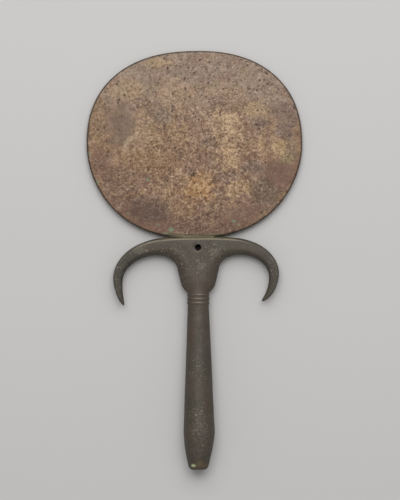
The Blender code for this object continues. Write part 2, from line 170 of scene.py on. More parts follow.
def crest(distance):
    """Extra height of the outer edge over the head, fading out along the horns."""
    return CREST_RISE * (1.0 - np.clip(distance / CREST_SPAN, 0.0, 1.0) ** 3) ** 2


def crest_line(x):
    """The top of the beam over the head and the horns' roots."""
    return np.stack([x, BEAM_HEIGHT + BEAM_DEPTH / 2 + crest(np.abs(x))], 1)


def horn_edges(sizes, steps):
    """Outer and inner edge from root to tip, each half a bar's width from the middle line. The bar
    thins by a power of the length that is left."""
    points, normals = horn_path(**sizes)
    along = np.concatenate([[0.0], np.cumsum(np.linalg.norm(np.diff(points, axis=0), axis=1))])
    share = np.delete(np.sin(np.linspace(0.0, math.pi / 2, steps + 2)), -2)
    at = share * along[-1]
    middle, normal = (np.stack([np.interp(at, along, line[:, i]) for i in (0, 1)], 1)
                      for line in (points, normals))
    half = BEAM_DEPTH / 2 * np.clip(1.0 - share, 0.0, 1.0) ** HORN_TAPER
    raised = half + crest(HORN_ROOT + at) * (1.0 - share)
    return middle + normal * raised[:, None], middle - normal * half[:, None], half


def root_edges(steps):
    """The arch between head and horn below, the crest above."""
    angle = np.linspace(math.pi / 4, 0.0, steps + 1)[:-1]
    power = 2.0 / ARCH_FULLNESS
    x = HORN_ROOT - (HORN_ROOT - HEAD_HALF_WIDTH) * np.sin(angle) ** power
    return crest_line(x), np.stack([x, arch_foot + ARCH_DEPTH * np.cos(angle) ** power], 1)


def mirrored(points):
    """The same line on the other side of the middle, run the other way."""
    return points[::-1] * (-1.0, 1.0)


def inner_line(sizes):
    """Everything below the horn on the right: grip, cup, flare, arch and the horn's inside."""
    y = np.linspace(0.0, join_height, 2 * EDGE_SAMPLES)
    side, arch = np.stack([half_width(y), y], 1), root_edges(EDGE_SAMPLES // 8)[1][1:]
    return np.concatenate([side, arch, horn_edges(sizes, EDGE_SAMPLES)[1]])


def outer_line():
    """The crest from tip to tip."""
    middle = crest_line(np.linspace(-HORN_ROOT, HORN_ROOT, EDGE_SAMPLES)[1:-1])
    left = mirrored(horn_edges(LEFT_HORN, EDGE_SAMPLES)[0])
    return np.concatenate([left, middle, horn_edges(RIGHT_HORN, EDGE_SAMPLES)[0]])


lower_right, lower_left = inner_line(RIGHT_HORN), mirrored(inner_line(LEFT_HORN))
upper = outer_line()
horn_reach = np.array([lower_left[:, 0].min(), lower_right[:, 0].max()])
print("the horns' insides reach", np.round(horn_reach * 1000, 1).tolist(), "mm")

# %% [markdown]
# ## How the mirror lies
# The mirror rests on its back, on a small flat under the swell and on the far rim of the disk. Its
# own drawing is flat, so one turn about X and one lift carry every point into the frame. They
# follow from the sizes: the slope is that of the line which touches both the swell and the rim.

# %% Sizes of the disk, and the mirror laid down
DISK_WIDTH, DISK_CROWN, DISK_BELLY = 0.1252, 0.0545, 0.0542
CROWN_FULLNESS, BELLY_FULLNESS_ACROSS, BELLY_FULLNESS_DOWN = 2.32, 2.4, 1.9
DISK_THICKNESS, DISK_EDGE_THICKNESS, RIM_ROUNDING = 0.0028, 0.0024, 0.0012
DISK_TURN = math.radians(1.5)
OUTLINE_SAMPLES, GRIP_SAMPLES = 720, 960
SEAT_DEPTH, SOCKET_GAP = 0.00075, 0.0003
GRIP_FLAT_DEPTH, RIM_FLAT_DEPTH = 0.0002, 0.00005
disk_centre = crest_height - BEAM_HEIGHT - SEAT_DEPTH + DISK_BELLY


def turned(points, angle):
    """Turn points in their plane, anticlockwise."""
    c, s = math.cos(angle), math.sin(angle)
    x, y = points[..., 0], points[..., 1]
    return np.concatenate([np.stack([c * x - s * y, s * x + c * y], -1), points[..., 2:]], -1)


def oval(count, extra=0.0):
    """A superellipse whose power differs above and below its widest line, in even steps."""
    angle = np.linspace(0.0, 2 * math.pi, 8 * count + 1)
    across, up = np.cos(angle), np.sin(angle)
    crown = up >= 0
    x_power = 2.0 / np.where(crown, CROWN_FULLNESS, BELLY_FULLNESS_ACROSS)
    y_power = 2.0 / np.where(crown, CROWN_FULLNESS, BELLY_FULLNESS_DOWN)
    x = (DISK_WIDTH / 2 + extra) * np.sign(across) * np.abs(across) ** x_power
    y = (np.where(crown, DISK_CROWN, DISK_BELLY) + extra) * np.sign(up) * np.abs(up) ** y_power
    along = np.concatenate([[0.0], np.cumsum(np.hypot(np.diff(x), np.diff(y)))])
    even = np.linspace(0.0, along[-1], count + 1)[:-1]
    return np.stack([np.interp(even, along, x), np.interp(even, along, y)], 1)


disk_top = disk_centre + turned(oval(OUTLINE_SAMPLES), DISK_TURN)[:, 1].max()
far_rim = disk_top - RIM_ROUNDING
rim_depth = DISK_EDGE_THICKNESS / 2 - RIM_FLAT_DEPTH
up_grip = np.linspace(0.0, join_height, GRIP_SAMPLES)
slopes = (half_depth(up_grip) - GRIP_FLAT_DEPTH - rim_depth) / (far_rim - (up_grip - BEAM_HEIGHT))
tilt = math.atan(float(slopes.max()))
lift = far_rim * math.sin(tilt) + rim_depth * math.cos(tilt)
back_step = (disk_top - BEAM_HEIGHT) / 2 * math.cos(tilt)


def lay(points):
    """From the flat drawing to where the mirror lies."""
    x, y, z = np.moveaxis(np.asarray(points, float), -1, 0)
    c, s = math.cos(tilt), math.sin(tilt)
    return np.stack([x, c * y + s * z - back_step, c * z - s * y + lift], -1)


def pick_up(points):
    """From where the mirror lies back to the flat drawing."""
    x, y, z = np.moveaxis(np.asarray(points, float), -1, 0)
    c, s, y, z = math.cos(tilt), math.sin(tilt), y + back_step, z - lift
    return np.stack([x, c * y - s * z, s * y + c * z], -1)


def handle_drawing(points):
    """The handle's own drawing stands a little to the right of the disk's and leans by a hair."""
    return turned(points, HANDLE_LEAN) + (HANDLE_OFFSET, 0.0, 0.0)


print("tilt", round(math.degrees(tilt), 3), "degrees, lift", round(lift * 1000, 2), "mm")

# %% [markdown]
# ## Random numbers that stay the same
# Cast and buried bronze is never quite smooth. Its unevenness is made from random hills: every
# corner of a cubic lattice gets a repeatable random height, and the heights are blended between
# corners. Pits are made the same way, with at most one round hollow for every cell of a lattice.

# %% Hills and pits
def chance(cells, seed):
    """A repeatable number from 0 to 1 for each cell, by mixing the bits of the cell's numbers."""
    primes = np.array([374761393, 668265263, 1442695041][:cells.shape[-1]], np.int64)
    mixed = (cells.astype(np.int64) * primes).sum(-1) + np.int64(seed * 974634777)
    mixed = (mixed ^ (mixed >> 13)) * np.int64(1274126177)
    mixed = (mixed ^ (mixed >> 17)) * np.int64(748911)
    return ((mixed ^ (mixed >> 15)) & 0xFFFFFF) / float(0xFFFFFF)


def hills(points, grain, seed):
    """Random hills from -1 to 1, about one grain apart."""
    place = points / grain
    corner = np.floor(place)
    share = ease(place - corner)
    total = 0.0
    for step in np.ndindex(*[2] * points.shape[-1]):
        weight = np.where(np.array(step, bool), share, 1.0 - share).prod(-1)
        total = total + weight * chance(corner + step, seed)
    return 2.0 * total - 1.0


def pits(plan, spacing, radius, share, seed):
    """Depth from 0 to 1 of round hollows: one less the square of the distance over the pit's own
    radius, squared, for the share of the cells that hold a pit."""
    place = plan / spacing
    home = np.floor(place)
    deepest = np.zeros(plan.shape[:-1])
    for step in np.ndindex(3, 3):
        cell = home + step - 1.0
        middle = cell + np.stack([chance(cell, seed), chance(cell, seed + 1)], -1)
        size = radius * (0.45 + 0.55 * chance(cell, seed + 2))
        away = np.linalg.norm(place - middle, axis=-1) * spacing / size
        here = chance(cell, seed + 3) < share
        deepest = np.maximum(deepest, here * np.clip(1.0 - away**2, 0.0, 1.0) ** 2)
    return deepest


def unevenness(points, layers):
    """The sum of layers of hills, each with its height and grain in metres and its seed."""
    return sum(height * hills(points, grain, seed) for height, grain, seed in layers)


sample = hills(np.random.default_rng(4).uniform(-0.06, 0.06, (20000, 3)), 0.004, 1)
print("hills lie between", np.round([sample.min(), sample.max()], 2).tolist())

# %% [markdown]
# ## The handle as four sheets
# A form like this could be carved from a block or joined from bars. Two height fields say it more
# simply: one sheet covers the grip up to the head, one runs along the beam from tip to tip, and
# each has a mirror image at the back. The height over the middle plane is the half depth times a
# quarter round from the lower edge, times a facet and shoulder from the outer edge.

# %% Height of the handle over its middle plane
FACET_SHARE, FACET_HEIGHT_SHARE = 0.14, 0.90
SHOULDER_SHARE, INNER_ROUNDING_SHARE = 0.62, 0.36
BLOCK = 3000


def distance_to(points, line):
    """Distance from each point to a line of short straight pieces, a block of points at a time."""
    start, run = line[:-1], np.diff(line, axis=0)
    length2 = np.maximum((run**2).sum(1), 1e-18)
    nearest = []
    for block in np.array_split(points, len(points) // BLOCK + 1):
        offset = block[:, None] - start
        share = np.clip((offset * run).sum(2) / length2, 0.0, 1.0)
        nearest.append(np.linalg.norm(offset - share[..., None] * run, axis=2).min(1))
    return np.concatenate(nearest)


def bevelled(distance, facet, width):
    """A steep flat facet up to the arris, then a rounded shoulder."""
    beyond = rounded(np.clip(distance - facet, 0.0, None), np.maximum(width - facet, 1e-9))
    slope = FACET_HEIGHT_SHARE * distance / facet
    return np.where(distance < facet, slope, FACET_HEIGHT_SHARE + (1 - FACET_HEIGHT_SHARE) * beyond)


def beam_sizes(half):
    """Depth, inner rounding, facet and shoulder of the beam where its half width is given."""
    depth = HEAD_THICKNESS / 2 * np.maximum(half / (BEAM_DEPTH / 2), 1e-6)
    width = 2 * np.maximum(half, 1e-7)
    return depth, INNER_ROUNDING_SHARE * width, FACET_SHARE * width, SHOULDER_SHARE * width


def front(plan, depth, inner_width, facet, shoulder):
    """Put the height of the front surface over a grid of plan points."""
    flat, shape = plan.reshape(-1, 2), plan.shape[:2]
    below = np.minimum(distance_to(flat, lower_right), distance_to(flat, lower_left)).reshape(shape)
    above = distance_to(flat, upper).reshape(shape)
    height = depth * rounded(below, inner_width) * bevelled(above, facet, shoulder)
    return np.dstack([plan, height])


print("the facet is", round(FACET_SHARE * BEAM_DEPTH * 1000, 2), "mm wide over the head")

# %% [markdown]
# Each sheet is a grid: rows up the grip with columns across it, and rungs along the beam. The lines
# stand closer together where the form turns quickly. Below the swell the grip is truly round, so
# its height there is that of an ellipse over the width, which also rounds the butt's edge cleanly.

# %% Front sheets of grip and beam
COLUMNS, BEAM_COLUMNS, HORN_STEPS, ROOT_STEPS = 60, 26, 120, 26
EDGE_ROWS, GRIP_ROWS, RING_ROWS, CUP_ROWS, FLARE_ROWS = 12, 190, 56, 34, 16
BELOW_RINGS = 0.0004
across = -np.cos(np.linspace(0.0, math.pi, COLUMNS + 1))


def grip_sheet():
    """Rows up the grip, closer together at the butt, the rings and the flare."""
    turn = np.linspace(0.0, math.pi / 4, FLARE_ROWS + 1)[1:]
    y = np.concatenate([
        BUTT_EDGE_ROUNDING * (1.0 - np.cos(np.linspace(0.0, math.pi / 2, EDGE_ROWS))),
        np.linspace(BUTT_EDGE_ROUNDING, GRIP_TOP - BELOW_RINGS, GRIP_ROWS)[1:],
        np.linspace(GRIP_TOP - BELOW_RINGS, ring_band_top, RING_ROWS)[1:],
        np.linspace(ring_band_top, arch_foot, CUP_ROWS)[1:],
        arch_foot + ARCH_DEPTH * np.sin(turn) ** (2.0 / ARCH_FULLNESS),
    ])
    plan = np.stack(np.broadcast_arrays(half_width(y)[:, None] * across, y[:, None]), 2)
    to_head = ease(up_the_head(y))
    width = half_width(y) * (1.0 - to_head) + HEAD_EDGE_ROUNDING * to_head
    _, _, facet, shoulder = beam_sizes(BEAM_DEPTH / 2)
    sheet = front(plan, half_depth(y)[:, None], width[:, None], facet, shoulder)
    below_swell = y < BUTT_ROUNDING
    sheet[below_swell, :, 2] = half_depth(y[below_swell])[:, None] * np.sqrt(1.0 - across**2)
    sheet[:, [0, -1], 2] = 0.0
    sheet[..., 0] -= BUTT_SHIFT * ease(1.0 - y / BUTT_ROUNDING)[:, None]
    return sheet


def beam_sheet():
    """Rungs from the outer to the inner edge, from the left tip over the head to the right tip."""
    left_outer, left_inner, left_half = horn_edges(LEFT_HORN, HORN_STEPS)
    right_outer, right_inner, right_half = horn_edges(RIGHT_HORN, HORN_STEPS)
    root_outer, root_inner = root_edges(ROOT_STEPS)
    join_width = half_width(join_height)
    x = join_width * across[1:-1]
    head_inner = np.stack([x, np.full_like(x, join_height)], 1)
    outer = np.concatenate([mirrored(left_outer), mirrored(root_outer), crest_line(x),
                            root_outer, right_outer])
    inner = np.concatenate([mirrored(left_inner), mirrored(root_inner), head_inner,
                            root_inner, right_inner])
    between = np.full(len(x) + 2 * ROOT_STEPS, BEAM_DEPTH / 2)
    depth, horn_rounding, facet, shoulder = beam_sizes(
        np.concatenate([left_half[::-1], between, right_half]))
    to_root = ease((np.abs(outer[:, 0]) - join_width) / (HORN_ROOT - join_width))
    inner_width = HEAD_EDGE_ROUNDING * (1 - to_root) + horn_rounding * to_root
    depth_across = np.maximum(np.linalg.norm(inner - outer, axis=1), 1e-9)
    arris = np.minimum(facet / depth_across, 0.5)[:, None]
    spread = (1.0 - np.cos(np.linspace(0.0, math.pi, BEAM_COLUMNS))) / 2
    share = np.concatenate([0.0 * arris, 0.5 * arris, arris + (1 - arris) * spread], 1)[..., None]
    sheet = front(outer[:, None] * (1 - share) + inner[:, None] * share, depth[:, None],
                  inner_width[:, None], facet[:, None], shoulder[:, None])
    sheet[:, 0, 2] = 0.0
    head_start = HORN_STEPS + 1 + ROOT_STEPS
    edge = np.ones(len(outer), bool)
    edge[head_start:head_start + len(x)] = False
    sheet[edge, -1, 2] = 0.0
    return sheet


grip, beam = grip_sheet(), beam_sheet()
print("grip sheet", grip.shape, "beam sheet", beam.shape)

# %% [markdown]
# ## Relief of the handle
# The casting is a little uneven, the worn bronze has soft dents, and corrosion leaves pits and
# small raised crusts. On the round grip the relief moves points along the surface normal; on the
# flat head and the horns it moves them up and down only, so that front and back still meet along
# the edges.

# %% Relief of the handle
HANDLE_HILLS = [(0.00007, 0.011, 11), (0.00004, 0.0045, 12),
                (0.000016, 0.0016, 13), (0.000010, 0.0009, 14)]
HANDLE_PIT_DEPTH = 0.00012
CAP_ROWS = 9


def handle_relief(points):
    """Metres to move the surface out: four sizes of hills, less the depth of the pits. The plan for
    the pits slants with the height, so that front and back have different ones."""
    slanted = points[..., :2] + points[..., 2:] * 3.1
    pitting = pits(slanted, 0.0060, 0.0007, 0.30, 15)
    return unevenness(points, HANDLE_HILLS) - HANDLE_PIT_DEPTH * pitting


def with_relief(sheet, facing):
    """Move a sheet by its relief: along the normal below the head, along Z from there on. It fades
    out at the butt's edge, so that the end stays flat."""
    rows = np.gradient(sheet, axis=0)
    ring = np.concatenate([sheet, sheet[:, -2:0:-1] * (1.0, 1.0, -1.0)], 1)
    around = (np.roll(ring, -1, axis=1) - np.roll(ring, 1, axis=1))[:, :sheet.shape[1]]
    normal = np.cross(rows, around)
    normal /= np.maximum(np.linalg.norm(normal, axis=-1), 1e-12)[..., None]
    normal *= np.sign((normal * (sheet * (1.0, 0.0, 1.0))).sum(-1))[..., None]
    upward = np.zeros_like(sheet)
    upward[..., 2] = np.sqrt(np.clip(sheet[..., 2] / (HEAD_THICKNESS / 2), 0.0, 1.0))
    flat = ease(up_the_head(sheet[..., 1]) * 1.25)[..., None]
    shown = sheet * (1.0, 1.0, facing)
    move = (normal * (1 - flat) + upward * flat) * (1.0, 1.0, facing)
    kept = ease(sheet[..., 1] / BUTT_EDGE_ROUNDING)
    return shown + move * (handle_relief(shown) * kept)[..., None]


def butt_cap(rim):
    """Close the butt: rows that shrink from its rim to one point."""
    centre = np.array([-BUTT_SHIFT, rim[0, 1], 0.0])
    share = np.linspace(1.0, 0.0, CAP_ROWS)[:, None, None]
    return centre + (rim[None] - centre) * share


sheets = []
for facing in (1.0, -1.0):
    grip_side = with_relief(grip, facing)
    grip_side[0, [0, -1], 2] = 0.0
    sheets += [grip_side, with_relief(beam, facing), butt_cap(grip_side[0])]
print("points in the sheets:", sum(sheet[..., 0].size for sheet in sheets))

# %% [markdown]
# The sheets become one closed mesh. Their edges were given the same points, so a weld closes the
# seams without moving anything, and then the faces are turned outwards.

# %% Make a closed piece from sheets
WELD = 0.000002


def in_scene(name, data):
    """A new object for a mesh, lamp or camera, linked to the scene."""
    thing = bpy.data.objects.new(name, data)
    bpy.context.scene.collection.objects.link(thing)
    return thing


def piece_from(name, sheets):
    """Put grids of points into one mesh as quads, weld shared edges and turn the faces outwards."""
    points, faces, first = [], [], 0
    for sheet in sheets:
        rows, columns = sheet.shape[:2]
        number = first + np.arange(rows * columns).reshape(rows, columns)
        corners = [number[:-1, :-1], number[:-1, 1:], number[1:, 1:], number[1:, :-1]]
        faces.append(np.stack(corners, -1).reshape(-1, 4))
        points.append(sheet.reshape(-1, 3))
        first += rows * columns
    mesh = bpy.data.meshes.new(name)
    mesh.from_pydata(np.concatenate(points).tolist(), [], np.concatenate(faces).tolist())
    bm = bmesh.new()
    bm.from_mesh(mesh)
    bmesh.ops.remove_doubles(bm, verts=bm.verts, dist=WELD)
    bmesh.ops.dissolve_degenerate(bm, edges=bm.edges, dist=WELD)
    bmesh.ops.recalc_face_normals(bm, faces=bm.faces)
    open_edges = sum(edge.is_boundary for edge in bm.edges)
    bm.to_mesh(mesh)
    bm.free()
    print(name, "has", len(mesh.vertices), "points and", open_edges, "open edges")
    return in_scene(name, mesh)


drawn = [handle_drawing(sheet - (0.0, BEAM_HEIGHT, 0.0)) for sheet in sheets]
handle = piece_from("bronze_handle", [lay(sheet) for sheet in drawn])

# %% [markdown]
# ## The disk as one sheet
# The disk was cast flat and ground smooth, so its faces are only slightly domed and its rim is
# rounded. One sheet covers it all: the first parameter goes round the outline, the second runs from
# the middle of the back over the rim to the middle of the front.

# %% Disk surface
ROUND, FACE_ROWS, BACK_ROWS, RIM_ROWS = 480, 112, 40, 9
DISK_HILLS = [(0.00006, 0.028, 31), (0.00002, 0.007, 32),
              (0.000012, 0.0024, 33), (0.000008, 0.0013, 34)]
DISK_PIT_DEPTH, NICK_DEPTH, NICK_GRAIN = 0.00016, 0.00010, 0.0021


def disk_sheet():
    """Rows are the outline, drawn in by the rim's rounding and then shrunk towards the middle. The
    heights follow a quarter circle at the rim and a parabola on the faces."""
    outline = oval(ROUND)
    run = np.roll(outline, -1, axis=0) - np.roll(outline, 1, axis=0)
    inward = np.stack([-run[:, 1], run[:, 0]], 1) / np.linalg.norm(run, axis=1)[:, None]
    edge, middle = DISK_EDGE_THICKNESS / 2, DISK_THICKNESS / 2
    turn = np.linspace(-math.pi / 2, math.pi / 2, 2 * RIM_ROWS + 1)[:, None, None]
    rim = outline + inward * RIM_ROUNDING * (1.0 - np.cos(turn))
    rim = np.concatenate([rim, np.broadcast_to(edge * np.sin(turn), (*rim.shape[:2], 1))], 2)

    def face(rows, side):
        share = np.linspace(1.0, 0.0, rows + 1)[1:, None, None]
        height = side * (edge + (middle - edge) * (1.0 - share**2))
        plan = (outline + inward * RIM_ROUNDING) * share
        return np.concatenate([plan, np.broadcast_to(height, (*plan.shape[:2], 1))], 2)

    rows = np.concatenate([face(BACK_ROWS, -1.0)[::-1], rim, face(FACE_ROWS, 1.0)])
    return np.concatenate([rows, rows[:, :1]], 1)


def disk_pits(plan):
    """Pits of two sizes: more in the upper part and along the upper rim, few below."""
    up = ease((plan[..., 1] + 0.02) / 0.06)
    from_rim = 1.0 - np.hypot(plan[..., 0] / (DISK_WIDTH / 2), plan[..., 1] / DISK_CROWN)
    near_rim = np.clip(1.0 - from_rim / 0.12, 0.0, 1.0) * (plan[..., 1] > 0)
    large = pits(plan, 0.0052, 0.00090, 0.10 + 0.42 * up, 21)
    small = pits(plan, 0.0029, 0.00058, 0.12 + 0.30 * up + 0.35 * near_rim, 25)
    return np.maximum(large, 0.8 * small)


sheet = disk_sheet()
facing = np.clip(sheet[..., 2] / (DISK_EDGE_THICKNESS / 2), -1.0, 1.0)
relief = unevenness(sheet, DISK_HILLS) - DISK_PIT_DEPTH * disk_pits(sheet[..., :2])
sheet[..., 2] += facing * relief
nick = np.clip(NICK_DEPTH * (hills(sheet[..., :2], NICK_GRAIN, 41) - 0.3), 0.0, None)
outward = sheet[..., :2] / np.maximum(np.linalg.norm(sheet[..., :2], axis=-1), 1e-9)[..., None]
sheet[..., :2] -= outward * (nick * (1.0 - np.abs(facing)))[..., None]
disk_place = turned(sheet, DISK_TURN) + (0.0, disk_centre, 0.0)
disk = piece_from("bronze_disk", [lay(disk_place)])

# %% [markdown]
# ## Fit disk and handle together
# The tang goes down into the head, the head is slotted for the disk, and a hole for a lost rivet
# goes through the front wall and the tang. Boolean modifiers cut these as a founder's chisel and
# drill would, and a block under the ground gives the two small flats that the mirror lies on.

# %% Tang, slot, rivet hole and flats
TANG_LENGTH, TANG_ROOT_WIDTH, TANG_END_WIDTH = 0.0135, 0.0180, 0.0130
TANG_THICKNESS, TANG_OVERLAP = 0.0019, 0.0060
RIVET_DIAMETER, RIVET_BELOW_DISK, RIVET_BACK_WALL, RIVET_SIDES = 0.0038, 0.0056, 0.0015, 48
disk_bottom = disk_centre - DISK_BELLY


def prism(name, corners, low, high):
    """A flat outline carried straight up from one height to another."""
    x, y = np.transpose(corners)
    ring = np.stack([np.append(x, x[0]), np.append(y, y[0])], 1)
    middle = np.full_like(ring, ring[:-1].mean(0))
    rows = [np.column_stack([plan, np.full(len(ring), z)])
            for plan, z in ((middle, low), (ring, low), (ring, high), (middle, high))]
    return piece_from(name, [np.stack(rows)])


def tang(name, extra):
    """A tapered flat bar below the disk, larger all round by the extra for its socket."""
    sizes = (TANG_ROOT_WIDTH, TANG_END_WIDTH, TANG_THICKNESS)
    root, end, thick = (size / 2 + extra for size in sizes)
    foot = -TANG_LENGTH - extra
    left = np.array([(-root, TANG_OVERLAP), (-root, 0.0), (-end, foot)])
    moved = np.concatenate([left, mirrored(left)]) + (HANDLE_OFFSET, disk_bottom)
    return prism(name, moved, -thick, thick)


def seat(name):
    """The disk's outline and thickness, larger all round by the gap."""
    outline = turned(oval(ROUND, SOCKET_GAP), DISK_TURN) + (0.0, disk_centre)
    thick = DISK_EDGE_THICKNESS / 2 + SOCKET_GAP
    return prism(name, outline, -thick, thick)


def rivet(name):
    """A round bar from the back wall of the head to clear of its front."""
    turn = np.linspace(0.0, 2 * math.pi, RIVET_SIDES, endpoint=False)
    ring = RIVET_DIAMETER / 2 * np.stack([np.cos(turn), np.sin(turn)], 1)
    moved = ring + (HANDLE_OFFSET, disk_bottom - RIVET_BELOW_DISK)
    return prism(name, moved, RIVET_BACK_WALL - HEAD_THICKNESS / 2, HEAD_THICKNESS)


def points_of(piece):
    """A piece's points as rows of x, y and z."""
    flat = np.empty(len(piece.data.vertices) * 3, np.float32)
    piece.data.vertices.foreach_get("co", flat)
    return flat.reshape(-1, 3).astype(float)


def laid(tool):
    """Carry a tool's points to where the mirror lies."""
    tool.data.vertices.foreach_set("co", lay(points_of(tool)).ravel())
    return tool


def square(half):
    """Corners of a square around the origin."""
    return [(-half, -half), (half, -half), (half, half), (-half, half)]


def carve(piece, cuts):
    """Apply one exact Boolean after another and keep the result as the piece's mesh."""
    for operation, tool in cuts:
        cut = piece.modifiers.new(tool.name, "BOOLEAN")
        cut.operation, cut.object, cut.solver = operation, tool, "EXACT"
    graph = bpy.context.evaluated_depsgraph_get()
    carved = bpy.data.meshes.new_from_object(piece.evaluated_get(graph))
    piece.modifiers.clear()
    piece.data = carved
    triangles = sum(len(face.vertices) - 2 for face in carved.polygons)
    print(piece.name, "after carving:", triangles, "triangles")


ground = prism("ground", square(DISK_WIDTH * 2), -DISK_WIDTH, 0.0)
tongue, socket = laid(tang("tongue", 0.0)), laid(tang("socket", SOCKET_GAP))
slot_tool, drill = laid(seat("slot")), laid(rivet("drill"))
carve(disk, [("UNION", tongue), ("DIFFERENCE", drill), ("DIFFERENCE", ground)])
carve(handle, [("DIFFERENCE", tool) for tool in (slot_tool, socket, drill, ground)])
for tool in (tongue, socket, slot_tool, drill, ground):
    bpy.data.objects.remove(tool, do_unlink=True)

# %% [markdown]
# Smooth shading hides the small quads, and edges sharper than an angle stay crisp: the drilled rim,
# the slot and the butt. Then the new pieces are compared with the boxes of the solids that they
# stand for.

# %% Shade the pieces and compare them with the solids
SHARP_EDGE = math.radians(50.0)
for piece, node in ((disk, "mirror_disk"), (handle, "handle")):
    piece.data.shade_smooth()
    piece.data.set_sharp_from_angle(angle=SHARP_EDGE)
    points = points_of(piece)
    solid = np.array([list(corner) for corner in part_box(node)])
    off = np.array([points.min(0), points.max(0)]) - solid
    print(piece.name, "differs from its solid's box by, mm:", np.round(off * 1000, 2).tolist())

# %% [markdown]
# ## A small language for finishes
# Old bronze needs many layers of colour, and layers read best as sums. A Field wraps one socket, so
# that arithmetic on it adds the Math nodes. It works with plain numbers on either side too.

# %% Numbers that vary over a surface
class Field:
    """A number that varies over a surface."""

    def __init__(self, finish, socket):
        self.finish, self.socket = finish, socket

    def math(self, operation, *values):
        return self.finish.node("ShaderNodeMath", {"operation": operation}, dict(enumerate(values)))

    def __add__(self, other):
        return self.math("ADD", self, other)

    def __sub__(self, other):
        return self.math("SUBTRACT", self, other)

    def __rsub__(self, other):
        return self.math("SUBTRACT", other, self)

    def __mul__(self, other):
        return self.math("MULTIPLY", self, other)

    def __truediv__(self, other):
        return self.math("DIVIDE", self, other)

    def __pow__(self, other):
        return self.math("POWER", self, other)

    __radd__ = __add__
    __rmul__ = __mul__

    def larger(self, other):
        return self.math("MAXIMUM", self, other)

    def size(self):
        return self.math("ABSOLUTE", self)

    def rise(self, low, high):
        """0 below the low value, 1 above the high one, with an S-curve between."""
        return self.finish.node("ShaderNodeMapRange", {"interpolation_type": "SMOOTHSTEP"},
                                {"Value": self, "From Min": low, "From Max": high})


print("a field knows:", [name for name in vars(Field) if not name.startswith("_")])

# %% [markdown]
# Colours are written as they look on a screen, 0 to 255, and turned into light values once. Part of
# what is seen is the light of the set and its sheen on the bronze, and that part is taken out.

# %% Colours
GLOW = (1.42, 1.49, 1.61)


def shade(red, green, blue, glow=GLOW):
    """Light values of a colour on a screen, by the screen's own curve, divided by the glow."""
    seen = np.array([red, green, blue]) / 255.0
    light = np.where(seen <= 0.04045, seen / 12.92, ((seen + 0.055) / 1.055) ** 2.4) / glow
    return (*[float(value) for value in light], 1.0)


print("a mid brown in light values:", np.round(shade(142, 117, 95)[:3], 3).tolist())

# %% [markdown]
# A Finish is a material with one method that adds any node, and a few that make what bronze needs:
# clouds, dots, ragged patches, and coats that are laid over the colour so far. Everything is placed
# by the piece's own coordinates, which are those of the frame, and spots are given in millimetres.

# %% Finishes
MILLIMETRE = 0.001


